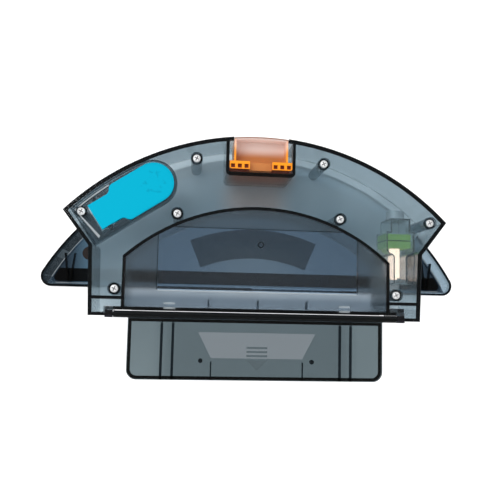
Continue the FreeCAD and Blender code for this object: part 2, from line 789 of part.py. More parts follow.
def make_inlet_plug():
    """Rubber plug: round head, S-shaped shoulders, tail with the pin's bore, hollow skirt below."""
    body = new_body("inlet_plug", s.plug_angle)
    low = tray_floor + s.running_gap
    rise = s.plug_head_radius - s.plug_tail_half
    run = s.plug_shoulder_run
    curve = (run * run + rise * rise) / (4 * rise)
    half = [
        (pin_u - s.plug_tail_length, s.plug_tail_half),
        (shoulder_u, s.plug_tail_half),
        (shoulder_u + run / 2, s.plug_tail_half + rise / 2),
        (shoulder_u + run, s.plug_head_radius),
        (s.head_u, s.plug_head_radius),
    ]
    lower = [(u, plug_v - v) for u, v in half]
    tip = [(s.head_u + s.plug_head_radius, plug_v)]
    upper = [(u, plug_v + v) for u, v in reversed(half)]
    arcs = {
        1: (curve, -1),
        2: (curve, 1),
        4: (s.plug_head_radius, 1),
        5: (s.plug_head_radius, 1),
        7: (curve, 1),
        8: (curve, -1),
    }
    pad(body, "slab", low, s.plug_thick, [(lower + tip + upper, arcs)])
    skirt = body.newObject("PartDesign::AdditiveCone", "inlet_plug_skirt")
    skirt_top = s.filler_radius - s.running_gap
    bind(skirt, "Radius1", skirt_top - s.skirt_taper)
    bind(skirt, "Radius2", skirt_top)
    bind(skirt, "Height", s.skirt_drop + s.plug_thick / 4)
    place(skirt, s.head_u, plug_v, low - s.skirt_drop)
    hollow = skirt_top - s.skirt_taper - s.skirt_wall
    spot = (s.head_u, plug_v, low - s.skirt_drop)
    round_tool(body, "Subtractive", "hollow", hollow, s.skirt_drop, spot)
    bore = s.pin_radius + s.pin_gap
    start = (pin_u, plug_v - s.plug_tail_half, pin_z)
    round_tool(body, "Subtractive", "bore", bore, 2 * s.plug_tail_half, start, ALONG_Y)
    return body


def make_plug_pin():
    length = 2 * (s.plug_tail_half + s.running_gap + s.lug_thick)
    start_v = plug_v - length / 2
    x, y = plug_point(pin_u, start_v)
    made = cylinder("plug_pin", s.pin_radius, length, (x, y, pin_z), (s.plug_angle, 0, -90))
    made.Label = "plug_pin"
    return made


def make_release_latch():
    """Latch: a hollow slide with a finger pad, side walls, and a front bar that carries the grips."""
    body = new_body("release_latch")
    low = s.latch_floor + s.running_gap
    rear_radius = s.arc_radius - s.latch_inset
    frame_top = top - s.frame_drop
    bar_top = top - s.bar_drop
    bar_rear = latch_bar_front + s.latch_bar
    side_rear = on_arc(rear_radius, s.latch_side_half)
    half = [(s.latch_side_half, latch_bar_front), (s.latch_side_half, side_rear)]
    pad(body, "block", low, frame_top - low, [(mirrored(half), {1: (rear_radius, 1)})])
    inner_half = s.latch_side_half - s.latch_wall
    inner_radius = rear_radius - s.latch_wall
    inner = [(inner_half, bar_rear), (inner_half, on_arc(inner_radius, inner_half))]
    hollow = (mirrored(inner), {1: (inner_radius, 1)})
    pocket(body, "finger_hollow", frame_top, frame_top - s.pad_level, [hollow])
    pocket(body, "core", low, s.pad_level - s.pad_thick - low, [hollow], upwards=True)
    seat_half = inner_half + s.lap
    seat = rectangle(-seat_half, s.spring_seat_y, seat_half, s.spring_seat_y + s.latch_wall)
    pad(body, "spring_seat", low, s.pad_level - s.seat_drop - low, [(seat,)])
    corner = s.latch_corner
    end = [
        (grip_half - corner, latch_bar_front),
        (grip_half, latch_bar_front + corner),
        (grip_half, bar_rear),
    ]
    bar = (mirrored(end), {0: (corner, 1), 4: (corner, 1)})
    pad(body, "front_bar", low, bar_top - low, [bar])
    right_grip = [(s.grip_inner, latch_bar_front)] + end + [(s.grip_inner, bar_rear)]
    left_grip = [(-x, y) for x, y in reversed(right_grip)]
    grips = [(right_grip, {1: (corner, 1)}), (left_grip, {2: (corner, 1)})]
    pad(body, "grips", bar_top - s.lap, grip_top - bar_top + s.lap, grips)
    slot = rectangle(-s.grip_inner, latch_bar_front - s.lap, s.grip_inner, bar_rear + s.lap)
    pocket(body, "middle", frame_top, s.middle_drop - s.frame_drop, [(slot,)])
    pockets = []
    step = (grip_half - s.grip_inner) / 3
    for side in BOTH:
        for number in range(3):
            centre = side * (s.grip_inner + step * (number + 0.5))
            across = s.grip_pocket / 2
            start = latch_bar_front + s.grip_lip
            rear = bar_rear - s.grip_band
            pockets.append((rectangle(centre - across, start, centre + across, rear),))
    pocket(body, "grip_pockets", grip_top, s.grip_pocket_depth, pockets)
    clear = s.spring_radius + s.spring_wire + s.running_gap
    for side in BOTH:
        word = "right" if side > 0 else "left"
        edges = (side * s.spring_x - clear, side * s.spring_x + clear)
        window = rectangle(edges[0], latch_bar_front - s.lap, edges[1], bar_rear + s.lap)
        pocket(body, f"spring_way_{word}", low, s.spring_level + clear - low, [(window,)], upwards=True)
    return body


def make_latch_spring(side, word):
    """Compression spring of square wire between the pocket's front wall and the latch's seat."""
    length = s.spring_seat_y - s.latch_front - 2 * s.spring_wire
    helix = doc.addObject("Part::Helix", f"spring_path_{word}")
    bind(helix, "Pitch", length / SPRING_TURNS)
    bind(helix, "Height", length)
    bind(helix, "Radius", s.spring_radius)
    helix.SegmentLength = 1
    section = doc.addObject("Part::RegularPolygon", f"spring_wire_{word}")
    section.Polygon = WIRE_SIDES
    bind(section, "Circumradius", s.spring_wire)
    place(section, s.spring_radius, 0, 0, 0, 0, 90)
    sweep = doc.addObject("Part::Sweep", f"latch_spring_{word}")
    sweep.Sections = [section]
    sweep.Spine = (helix, [f"Edge{turn + 1}" for turn in range(SPRING_TURNS)])
    sweep.Solid = True
    sweep.Frenet = True
    sweep.Label = f"latch_spring_{word}"
    place(sweep, side * s.spring_x, s.latch_front + s.spring_wire + shift_y, s.spring_level, *ALONG_Y)
    return sweep


def door_plan(half, low, high, corner):
    """A loop about the middle line, with its two free corners round."""
    right = [(half, high), (half, low + corner), (half - corner, low)]
    return [(-x, y) for x, y in right] + right[::-1], {1: (corner, 1), 3: (corner, 1)}


def make_dust_door():
    """Door, swung out flat: hinge rod with end pins, flap with ribs, a thinner middle panel with a
    pull arrow, and pegs below."""
    body = new_body("dust_door")
    rear = s.hinge_y - s.rod_radius / 2
    low = hinge_z - s.door_below
    pad(body, "flap", low, s.door_thick, [door_plan(s.door_half, free_edge, rear, s.door_corner)])
    rod_spot = (-s.rod_half, s.hinge_y, hinge_z)
    round_tool(body, "Additive", "rod", s.rod_radius, 2 * s.rod_half, rod_spot, ALONG_X)
    pin_half = s.ear_step + s.wall / 2 - s.running_gap
    pin_spot = (-pin_half, s.hinge_y, hinge_z)
    round_tool(body, "Additive", "pins", s.door_pin_radius, 2 * pin_half, pin_spot, ALONG_X)
    face = low + s.door_thick
    ribs = []
    start = free_edge + s.door_rim
    for side in BOTH:
        for x in (s.outer_rib_x, s.inner_rib_x):
            low_x = side * x - s.door_rib_width / 2
            ribs.append((rectangle(low_x, start, low_x + s.door_rib_width, rear - s.rod_radius / 2),))
        thin = s.door_rib_width / 4
        short_x = side * s.panel_low_half
        short_end = s.hinge_y - s.panel_low - s.wall
        ribs.append((rectangle(short_x - thin, start, short_x + thin, short_end),))
    pad(body, "ribs", face - s.lap, s.door_rib + s.lap, ribs)
    panel_top = s.hinge_y - s.panel_top
    panel_low = s.hinge_y - s.panel_low
    panel = [
        (-s.panel_low_half, panel_low),
        (s.panel_low_half, panel_low),
        (s.panel_top_half, panel_top),
        (-s.panel_top_half, panel_top),
    ]
    pocket(body, "panel", face, s.panel_sink, [(panel,)])
    arrow_half = s.arrow_half
    arrow_top = panel_low - s.arrow_gap
    arrow = [(0, panel_low - s.arrow_length), (arrow_half, arrow_top), (-arrow_half, arrow_top)]
    pocket(body, "arrow", face, s.panel_sink / 2, [(arrow,)])
    bars = []
    for step in range(3):
        level = panel_low + s.arrow_gap + step * s.arrow_step
        bars.append((rectangle(-arrow_half, level, arrow_half, level + s.arrow_bar),))
    pad(body, "arrow_bars", face - s.panel_sink, s.panel_sink / 2, bars)
    pegs = [(side * s.peg_x, panel_low - s.peg_drop, s.peg_radius) for side in BOTH]
    pad(body, "pegs", low - s.peg_length, s.peg_length + s.door_thick / 4, circles=pegs)
    return body


def make_door_seal():
    """Seal round the flap, on the face that closes the mouth."""
    body = new_body("door_seal")
    level = hinge_z - s.door_below - s.door_seal_thick
    half = s.door_half - s.door_rim
    low = free_edge + s.door_rim
    high = s.hinge_y - s.rod_radius - s.running_gap
    corner = s.door_corner - s.door_rim
    width = s.door_seal_width
    pad(body, "strip", level, s.door_seal_thick, [door_plan(half, low, high, corner)])
    inner = door_plan(half - width, low + width, high - width, corner - width)
    pocket(body, "middle", level, s.door_seal_thick, [inner], upwards=True)
    return body


def plate_outline(radius, front, corner):
    """Segment of a circle with rounded corners, each tangent to the chord and to the arc."""
    centre_y = front + corner
    reach = radius - corner
    centre_x = root(reach * reach - centre_y * centre_y)
    scale = radius / reach
    half = [(centre_x, front), (centre_x * scale, centre_y * scale)]
    return mirrored(half), {0: (corner, 1), 1: (radius, 1), 2: (corner, 1)}


def make_mop_plate():
    """Mopping plate: a shallow tray with a rim, a flat band, a raised middle, wing ribs and a
    curved pad."""
    body = new_body("mop_plate")
    outer = plate_outline(s.plate_radius, s.plate_front, s.plate_corner)
    pad(body, "block", 0, s.plate_height, [outer])
    tray_radius = s.plate_radius - s.plate_wall
    tray_corner = s.plate_corner - s.plate_wall
    inner = plate_outline(tray_radius, s.plate_front + s.plate_wall, tray_corner)
    pocket(body, "tray", s.plate_height, s.plate_height - s.plate_skin, [inner])
    middle = plate_outline(s.plate_radius - s.band_side, s.plate_front + s.band_front, s.band_corner)
    pad(body, "middle", s.plate_skin / 2, s.step_height + s.plate_skin / 2, [middle])
    skin = s.plate_skin / 2
    under = plate_outline(
        s.plate_radius - s.band_side - skin, s.plate_front + s.band_front + skin, s.band_corner - skin
    )
    pocket(body, "recess", 0, s.step_height, [under], upwards=True)
    face = s.plate_skin + s.step_height
    half_angle = s.pad_half_angle
    points = []
    for radius in (s.pad_inner, s.pad_outer):
        points.append((radius * sine(half_angle), radius * cosine(half_angle)))
    pad_plan = (mirrored(points), {1: (s.pad_outer, 1), 3: (s.pad_inner, -1)})
    pad(body, "curved_pad", face - skin, s.pad_height + skin, [pad_plan])
    rib_top = s.plate_height - face
    ribs = []
    half_rib = s.wing_rib_width / 2
    foot_y = s.plate_front + s.band_front + skin
    for side in BOTH:
        foot_x = side * (s.post_x + s.wing_rib_reach)
        for lean in BOTH:
            near_x = foot_x + lean * s.wing_rib_spread / 4
            head_x = foot_x + lean * s.wing_rib_spread
            ribs.append(([
                (near_x - half_rib, foot_y),
                (near_x + half_rib, foot_y),
                (head_x + half_rib, s.post_y),
                (head_x - half_rib, s.post_y),
            ],))
    for number, rib in enumerate(ribs):
        pad(body, f"wing_rib_{number}", face - skin, rib_top + skin, [rib])
    return body


def make_hook_strip():
    """Hook tape in the recess under the plate, along its front, with the recess's own ends."""
    body = new_body("hook_strip")
    front = s.plate_front + s.band_front + s.plate_skin / 2 + s.running_gap
    rear = front + s.strip_depth
    skin = s.plate_skin / 2 + s.running_gap
    radius = s.plate_radius - s.band_side - skin
    corner = s.band_corner - skin
    right, arcs = plate_outline(radius, front, corner)
    half = right[:2] + [(on_arc(radius, rear), rear)]
    plan = (mirrored(half), {0: arcs[0], 1: arcs[1], 3: arcs[1], 4: arcs[0]})
    pad(body, "tape", s.step_height - s.strip_thick, s.strip_thick, [plan])
    return body


def make_clip_post(side, word):
    face = s.plate_skin + s.step_height
    made = cylinder(f"clip_post_{word}", s.post_radius, s.post_height, (side * s.post_x, s.post_y, face))
    made.Label = f"clip_post_{word}"
    return made


def case_plan(inset):
    """Pump case in plan: narrow round the motor, S-shaped shoulders, wide round the pump, and a
    neck for the intake."""
    rise = s.case_wide_half - s.case_narrow_half
    run = s.case_shoulder_run
    curve = (run * run + rise * rise) / (4 * rise)
    half = [
        (s.case_narrow_half - inset, s.case_front + inset),
        (s.case_narrow_half - inset, case_shoulder),
        (s.case_narrow_half - inset + rise / 2, case_shoulder + run / 2),
        (s.case_wide_half - inset, case_wide_y),
        (s.case_wide_half - inset, case_neck_y - inset),
        (s.case_neck_half - inset, case_neck_y - inset),
        (s.case_neck_half - inset, case_rear - inset),
    ]
    right = [(s.pump_x + x, y) for x, y in half]
    left = [(s.pump_x - x, y) for x, y in reversed(half)]
    arcs = {1: (curve, -1), 2: (curve, 1), 10: (curve, 1), 11: (curve, -1)}
    return right + left, arcs


def make_pump_case():
    """Clear cover over the pump, standing on the tank's floor, with the intake's hole."""
    body = new_body("pump_case")
    pad(body, "block", floor_top, s.case_height, [case_plan(0)])
    depth = s.case_height - s.case_wall
    pocket(body, "hollow", floor_top, depth, [case_plan(s.case_wall)], upwards=True)
    spot = (s.pump_x, case_rear - 1.5 * s.case_wall, floor_top + s.case_height / 2)
    round_tool(body, "Subtractive", "intake", s.inlet_radius / 2, 2 * s.case_wall, spot, ALONG_Y)
    return body


def pump_block(label, start, length, height):
    low_x = s.pump_x - s.pump_half
    made = box(label, (low_x, start, floor_top), (2 * s.pump_half, length, height))
    made.Label = label
    return made


def make_pump():
    """Pump: body, diaphragm sheet and valve cap stacked along Y, with the motor in front."""
    start = pump_start
    body = pump_block("pump_body", start, s.pump_body_length, s.pump_height)
    sheet_start = start + s.pump_body_length
    sheet_height = s.pump_height - s.diaphragm_inset
    diaphragm = pump_block("pump_diaphragm", sheet_start, s.diaphragm_thick, sheet_height)
    cap_start = sheet_start + s.diaphragm_thick
    cap = pump_block("pump_valve_cap", cap_start, s.pump_cap_length, s.pump_height)
    axis_z = floor_top + s.pump_height / 2
    motor_spot = (s.pump_x, start - s.motor_length, axis_z)
    motor = cylinder("motor_can", s.motor_radius, s.motor_length, motor_spot, ALONG_Y)
    boss_spot = (s.pump_x, start - s.motor_length - s.motor_boss, axis_z)
    boss = cylinder("motor_end", s.motor_radius / 2, 2 * s.motor_boss, boss_spot, ALONG_Y)
    joined("pump_motor", "MultiFuse", [motor, boss])
    spot = (s.pump_x, case_rear, floor_top + s.case_height / 2)
    outer = cylinder("inlet_outer", s.inlet_radius, s.inlet_length, spot, ALONG_Y)
    bore = cylinder("inlet_bore", s.inlet_radius / 2, s.inlet_length / 2, spot, ALONG_Y)
    cut("pump_inlet_cap", outer, bore)
    return [body, diaphragm, cap, doc.pump_motor, doc.pump_inlet_cap]


def make_outlet_nozzle():
    """Rubber spout through the floor, flanged below."""
    x = s.pump_x
    y = nozzle_y
    low = s.plate_skin + s.step_height + s.nozzle_clear
    stem = cylinder("nozzle_stem", s.nozzle_radius, floor_top - low, (x, y, low))
    lip_spot = (x, y, s.tank_bottom - s.nozzle_lip)
    flange = cylinder("nozzle_flange", s.nozzle_flange, s.nozzle_lip, lip_spot)
    solid = joined("nozzle_solid", "MultiFuse", [stem, flange])
    bore = cylinder("nozzle_way", s.nozzle_bore, floor_top - low, (x, y, low))
    return cut("outlet_nozzle", solid, bore)


def make_contacts():
    """Block in the right ear with two pins flush with the ear's front face."""
    rear = s.ear_front + s.wall
    corner = (s.contact_x - s.contact_half, rear, floor_top)
    block = box("contact_block", corner, (2 * s.contact_half, s.contact_depth, s.contact_height))
    block.Label = "contact_block"
    pins = []
    for word, level in (("low", s.contact_low), ("high", s.contact_high)):
        spot = (s.contact_x, s.ear_front, level)
        pins.append(cylinder(f"contact_{word}", s.contact_pin_radius, s.wall, spot, ALONG_Y))
    return [block, joined("contact_pins", "Compound", pins)]


tank_base = make_tank_base()
top_cover = make_top_cover()
plug_parts = [make_inlet_plug(), make_plug_pin()]
latch_parts = [make_release_latch(), make_latch_spring(-1, "left"), make_latch_spring(1, "right")]
door_parts = [make_dust_door(), make_door_seal()]
plate_parts = [make_mop_plate(), make_hook_strip(), make_clip_post(-1, "left"), make_clip_post(1, "right")]
pump_parts = [make_pump_case(), *make_pump(), make_outlet_nozzle()]
contact_parts = make_contacts()
screws = make_cover_screws()
doc.recompute()
gasket = make_cover_gasket(tank_base)
doc.recompute()

nodes = [tank_base, top_cover, gasket, screws]
nodes += plug_parts + latch_parts + door_parts + plate_parts + pump_parts + contact_parts

faults = []
for item in doc.Objects:
    if "Invalid" in item.State or "Error" in item.State:
        faults.append(f"{item.Label} {item.State}")
for item in nodes:
    if item.Shape.isNull() or not item.Shape.isValid():
        faults.append(f"{item.Label} has no valid shape")
if faults:
    raise RuntimeError("; ".join(faults))

os.makedirs("parts", exist_ok=True)
for item in nodes:
    item.Shape.exportStep(f"parts/{item.Label}.step")
    box_now = item.Shape.BoundBox
    print(item.Label, len(item.Shape.Solids), "solids", round(item.Shape.Volume, 1), "mm3", box_now)
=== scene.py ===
import json
import math

import bmesh
import bpy
from mathutils import Matrix, Vector


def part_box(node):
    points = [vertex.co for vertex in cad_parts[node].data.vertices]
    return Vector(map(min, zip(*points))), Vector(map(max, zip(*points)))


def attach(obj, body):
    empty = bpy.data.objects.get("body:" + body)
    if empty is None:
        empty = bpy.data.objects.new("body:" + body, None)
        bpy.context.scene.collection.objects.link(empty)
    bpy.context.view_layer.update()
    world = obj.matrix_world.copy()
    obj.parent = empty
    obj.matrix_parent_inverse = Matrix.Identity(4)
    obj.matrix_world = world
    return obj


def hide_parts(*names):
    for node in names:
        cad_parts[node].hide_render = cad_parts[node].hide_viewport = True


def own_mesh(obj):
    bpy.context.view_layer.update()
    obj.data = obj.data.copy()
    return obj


# Water tank and dust box of a robot vacuum, lying on a white table and seen from above.
# Lengths are in metres. The plan is measured from the robot's centre, as the real tank's arcs are.

MM = 0.001

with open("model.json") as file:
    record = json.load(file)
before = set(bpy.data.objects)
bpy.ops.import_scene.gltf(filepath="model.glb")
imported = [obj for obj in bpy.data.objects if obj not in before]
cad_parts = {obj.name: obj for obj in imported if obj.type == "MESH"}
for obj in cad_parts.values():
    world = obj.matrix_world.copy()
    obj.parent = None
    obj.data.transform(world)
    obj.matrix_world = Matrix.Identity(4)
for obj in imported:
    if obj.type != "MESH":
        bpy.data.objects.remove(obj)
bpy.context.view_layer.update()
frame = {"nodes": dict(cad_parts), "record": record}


def spot(node):
    """Lowest and highest corners of a piece at rest."""
    low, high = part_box(node)
    return Vector(low), Vector(high)


TANK_HIGH = spot("tank_base")[1]
COVER_TOP = spot("top_cover")[1].z
ARC_RADIUS = 170 * MM
ARCH_RADIUS = 122.5 * MM
ROBOT_Y = TANK_HIGH.y - ARC_RADIUS
ARCH_HALF = 83.7 * MM
WINDOW_HALF = 63 * MM
WINDOW_FRONT = 70.5 * MM
WINDOW_REAR = 109.8 * MM
COVER_LOW = COVER_TOP - 2 * MM
SCREWS = [(x * MM, y * MM) for x, y in ((41, 154.3), (111.7, 118.1), (52.1, 118.6), (89.2, 70.6))]
SCREW_RING = 3.6 * MM
SEAT_DEPTH = 3 * MM
TRAY_SEAT_DEPTH = 5 * MM
TRAY_INNER = 100 * MM
HEAD_RADIUS = 2.4 * MM
HEAD_HEIGHT = 1.6 * MM
HEAD_CROWN = 0.5 * MM
CROSS_HALF = 0.38 * MM
CROSS_REACH = 1.5 * MM
CROSS_DEPTH = 0.7 * MM
CROSS_LEAST = 0.35 * MM
SCREW_LENGTH = 9.0 * MM
SHANK_RADIUS = 1.2 * MM
RINGS = 24
SIDES = 72
CROSS_TURN = math.radians(26)
CROSS_COS = math.cos(CROSS_TURN)
CROSS_SIN = math.sin(CROSS_TURN)
CROSS_SOFT = 0.08 * MM
EDGE = 0.25 * MM


# Surfaces


class Field:
    """A value that changes over a surface. Arithmetic on it adds the Math node it names."""

    def __init__(self, surface, socket):
        self.surface = surface
        self.socket = socket

    def math(self, operation, *others):
        values = dict(enumerate((self, *others)))
        return self.surface.node("ShaderNodeMath", {"operation": operation}, values)

    def __add__(self, other):
        return self.math("ADD", other)

    def __mul__(self, other):
        return self.math("MULTIPLY", other)

    def __sub__(self, other):
        return self.math("SUBTRACT", other)

    def __rsub__(self, other):
        return self.surface.node("ShaderNodeMath", {"operation": "SUBTRACT"}, {0: other, 1: self})

    def size(self):
        return self.math("ABSOLUTE")

    def most(self, *others):
        """The highest of this field and others."""
        whole = self
        for other in others:
            whole = whole.math("MAXIMUM", other)
        return whole

    def above(self, level, soft=EDGE):
        """1 above a level, 0 below it."""
        return self.step(level - soft, level + soft)

    def below(self, level, soft=EDGE):
        """1 below a level, 0 above it."""
        return 1 - self.above(level, soft)

    def within(self, low, high, soft=EDGE):
        """1 between low and high, 0 outside."""
        return self.above(low, soft) * self.below(high, soft)

    def step(self, start, finish):
        """0 below start, 1 above finish, smooth between them."""
        settings = {"interpolation_type": "SMOOTHSTEP", "clamp": True}
        values = {"Value": self, "From Min": start, "From Max": finish}
        return self.surface.node("ShaderNodeMapRange", settings, values)


class Surface:
    """A material with one Principled shader, filled in by name."""

    def __init__(self, name, **values):
        self.material = bpy.data.materials.new(name)
        self.material.use_nodes = True
        self.tree = self.material.node_tree
        self.tree.nodes.clear()
        self.output = self.tree.nodes.new("ShaderNodeOutputMaterial")
        self.shader = self.principled(**values)
        self.tree.links.new(self.shader.outputs[0], self.output.inputs["Surface"])

    def principled(self, **values):
        made = self.tree.nodes.new("ShaderNodeBsdfPrincipled")
        for key, value in values.items():
            self.feed(made.inputs[key.replace("_", " ")], value)
        return made

    def feed(self, socket, value):
        """Links a field to a socket, or sets a constant on it."""
        if isinstance(value, Field):
            self.tree.links.new(value.socket, socket)
        elif socket.type == "RGBA" and len(value) == 3:
            socket.default_value = (*value, 1)
        else:
            socket.default_value = value

    def node(self, kind, settings=None, values=None, output=0):
        made = self.tree.nodes.new(kind)
        for key, value in (settings or {}).items():
            setattr(made, key, value)
        for key, value in (values or {}).items():
            self.feed(made.inputs[key], value)
        return Field(self, made.outputs[output])

    def place(self):
        """Where a point of the piece is, as three fields measured from the robot's centre."""
        where = self.node("ShaderNodeTexCoord", output="Object")
        parts = self.tree.nodes.new("ShaderNodeSeparateXYZ")
        self.feed(parts.inputs[0], where)
        x, y, z = (Field(self, parts.outputs[axis]) for axis in "XYZ")
        return x, y - ROBOT_Y, z

    def noise(self, scale, detail, roughness=0.5):
        """Cloudy unevenness between 0 and 1."""
        where = self.node("ShaderNodeTexCoord", output="Object")
        values = {"Vector": where, "Scale": scale, "Detail": detail, "Roughness": roughness}
        return self.node("ShaderNodeTexNoise", {}, values)

    def blend(self, factor, first, second):
        """A colour between two colours or colour fields."""
        made = self.tree.nodes.new("ShaderNodeMix")
        made.data_type = "RGBA"
        for socket, value in ((made.inputs[0], factor), (made.inputs[6], first), (made.inputs[7], second)):
            self.feed(socket, value)
        return Field(self, made.outputs[2])

    def bump(self, height, strength, distance):
        values = {"Strength": strength, "Distance": distance, "Height": height}
        return self.node("ShaderNodeBump", {}, values)

    def over(self, factor, first, second):
        """Two shaders mixed by a field, as one shader output."""
        made = self.tree.nodes.new("ShaderNodeMixShader")
        self.feed(made.inputs[0], factor)
        self.tree.links.new(first, made.inputs[1])
        self.tree.links.new(second, made.inputs[2])
        return made.outputs[0]

    def see_through(self, top, tint, per_metre):
        """Lets shadow rays pass and darkens light by the depth of plastic that it crosses."""
        rays = self.node("ShaderNodeLightPath", output="Is Shadow Ray")
        clear = self.tree.nodes.new("ShaderNodeBsdfTransparent")
        whole = self.over(rays, top, clear.outputs[0])
        self.tree.links.new(whole, self.output.inputs["Surface"])
        smoke = self.tree.nodes.new("ShaderNodeVolumeAbsorption")
        self.feed(smoke.inputs["Color"], tint)
        self.feed(smoke.inputs["Density"], per_metre)
        self.tree.links.new(smoke.outputs[0], self.output.inputs["Volume"])


PLASTIC_INDEX = 1.46
THIN_INDEX = 1.2
SMOKE_TINT = (0.30, 0.42, 0.48)
DARK_TINT = (0.03, 0.04, 0.05)
BLACK_TINT = (0.02, 0.02, 0.03)
CLEAR_TINT = (1.0, 1.0, 1.0)


def distance(x, y):
    """How far a point is from the origin of two fields."""
    return (x * x + y * y).math("SQRT")


def inside_arch(x, y):
    """1 over the dust box, 0 over the water chamber and the ears."""
    return distance(x, y).below(ARCH_RADIUS) * x.size().below(ARCH_HALF)


def near_screws(x, y):
    """1 in the thick plastic round each screw."""
    rings = [distance(x.size() - across, y - along).below(SCREW_RING) for across, along in SCREWS]
    return rings[0].most(*rings[1:])


def screw_crosses(x, y):
    """1 in the cross recess of each screw head."""
    arms = []
    for screw_x, screw_y in SCREWS:
        across = x.size() - screw_x
        along = y - screw_y
        first = (across * CROSS_COS + along * CROSS_SIN).size()
        second = (along * CROSS_COS - across * CROSS_SIN).size()
        for near, far in ((first, second), (second, first)):
            arms.append(near.below(CROSS_HALF, CROSS_SOFT) * far.below(CROSS_REACH, CROSS_SOFT))
    return arms[0].most(*arms[1:])


def smoky_body(surface, tint, roughness, index=PLASTIC_INDEX, clearness=0.995):
    """A shader for see-through plastic."""
    body = surface.principled(Base_Color=tint, Roughness=roughness, IOR=index, Transmission_Weight=clearness)
    return body.outputs[0]


def case_plastic():
    """Pump case: nearly clear, slightly milky."""
    surface = Surface("clear_case")
    body = smoky_body(surface, (0.8, 0.85, 0.86), surface.noise(40, 4) * 0.08 + 0.03, clearness=0.95)
    surface.see_through(body, SMOKE_TINT, 25)
    return surface.material


WINDOW_LINE = 0.6 * MM
GATE = (1.0 * MM, 100.3 * MM)
GATE_RING = (1.3 * MM, 2.0 * MM, 0.15 * MM)
RIB_REACH = (55 * MM, 65.5 * MM)
RIB_LEVELS = (40 * MM, COVER_LOW - 0.1 * MM, 0.05 * MM)
TRAY_LEVELS = (39 * MM, 42 * MM, 0.1 * MM)
CLIP_LEVELS = (COVER_TOP - 1.1 * MM, COVER_TOP - 0.9 * MM, 0.02 * MM)
SILL = (WINDOW_FRONT - 6 * MM, WINDOW_FRONT)
COVER_GLOW_SIDE = (14 * MM, 25 * MM)
COVER_GLOW_RISE = (132 * MM, 147 * MM)
COVER_GLOW_END = (148 * MM, 149 * MM)


def cover_plastic():
    """Cover: clear ring, frosted middle over the dust box, polished window with thin dark edges of painted
    shade, filler tray darkened by painted shade, a darker strip in front of the window, painted highlights,
    and a painted orange glow in front of the latch."""
    surface = Surface("smoky_cover")
    x, y, z = surface.place()
    middle = inside_arch(x, y)
    across = x.size()
    gate = distance(x - GATE[0], y - GATE[1]).within(*GATE_RING)
    window = across.below(WINDOW_HALF) * y.within(WINDOW_FRONT, WINDOW_REAR) * middle * (1 - gate)
    around = across.below(WINDOW_HALF + WINDOW_LINE) * middle
    around = around * y.within(WINDOW_FRONT, WINDOW_REAR + WINDOW_LINE)
    ribs = y.within(*RIB_REACH) * z.within(*RIB_LEVELS)
    tray = z.within(*TRAY_LEVELS)
    # Painted shade: round the screw seats, on the ribs, along the window's sides and rear edge, in the
    # filler tray and on the gate mark's ring, the cover is tinted dark.
    painted_shade = near_screws(x, y).most(ribs, (around - window) * 0.8, tray * 0.75, gate * 0.8)
    sill = middle * (1 - y.step(*SILL))
    # Painted light: an orange glow in the cover in front of the latch, for light thrown off the orange
    # latch.
    cover_latch_glow = (1 - across.step(*COVER_GLOW_SIDE)) * y.step(*COVER_GLOW_RISE) * (1 - y.step(*COVER_GLOW_END))
    frost = surface.blend(middle, (0.84, 0.90, 0.93), (0.80, 0.78, 0.78))
    frost = surface.blend(sill * 0.9, frost, (0.30, 0.33, 0.36))
    frost = surface.blend(cover_latch_glow * 0.8, frost, (1.0, 0.60, 0.46))
    tint = surface.blend(painted_shade, frost, DARK_TINT)
    grain = surface.noise(35, 4)
    frosted = smoky_body(surface, tint, middle * 0.22 + grain * 0.08 + 0.05, THIN_INDEX)
    polished = smoky_body(surface, (0.80, 0.86, 0.94), grain * 0.04 + 0.02, THIN_INDEX, 0.99)
    # Painted highlight: a whitish, less clear shader, laid on the window's front edge and on the clip faces
    # where they would catch light.
    painted_light = smoky_body(surface, (0.50, 0.54, 0.56), 0.3, THIN_INDEX, 0.3)
    front_edge_highlight = across.below(WINDOW_HALF) * y.within(WINDOW_FRONT - WINDOW_LINE, WINDOW_FRONT, 0.1 * MM)
    clip_highlight = z.within(*CLIP_LEVELS)
    top = surface.over(window, frosted, polished)
    top = surface.over((front_edge_highlight * 0.6).most(clip_highlight * 0.85), top, painted_light)
    surface.see_through(top, SMOKE_TINT, 240)
    return surface.material


HINGE_SIDE = (88 * MM, 96 * MM)
HINGE_FRONT = (57.4 * MM, 57.8 * MM)
EAR_FRONT = (64 * MM, 66 * MM)
LEG_FADE = (80 * MM, 120 * MM)
RIM_FADE = (128 * MM, 168 * MM)
LEFT_FADE = (-60 * MM, 60 * MM)
FLOOR_GLOW_SIDE = (10 * MM, 30 * MM)
FLOOR_GLOW_REACH = (126 * MM, 145 * MM, 7 * MM)
WALL_GLOW_SIDE = (16 * MM, 26 * MM)
WALL_GLOW_REACH = (128 * MM, 153 * MM, 6 * MM)
BRIGHT_MIDDLE = 88 * MM
BRIGHT_FADE = (4 * MM, 26 * MM)
FLOOR_TOP = (9.0 * MM, 9.3 * MM)


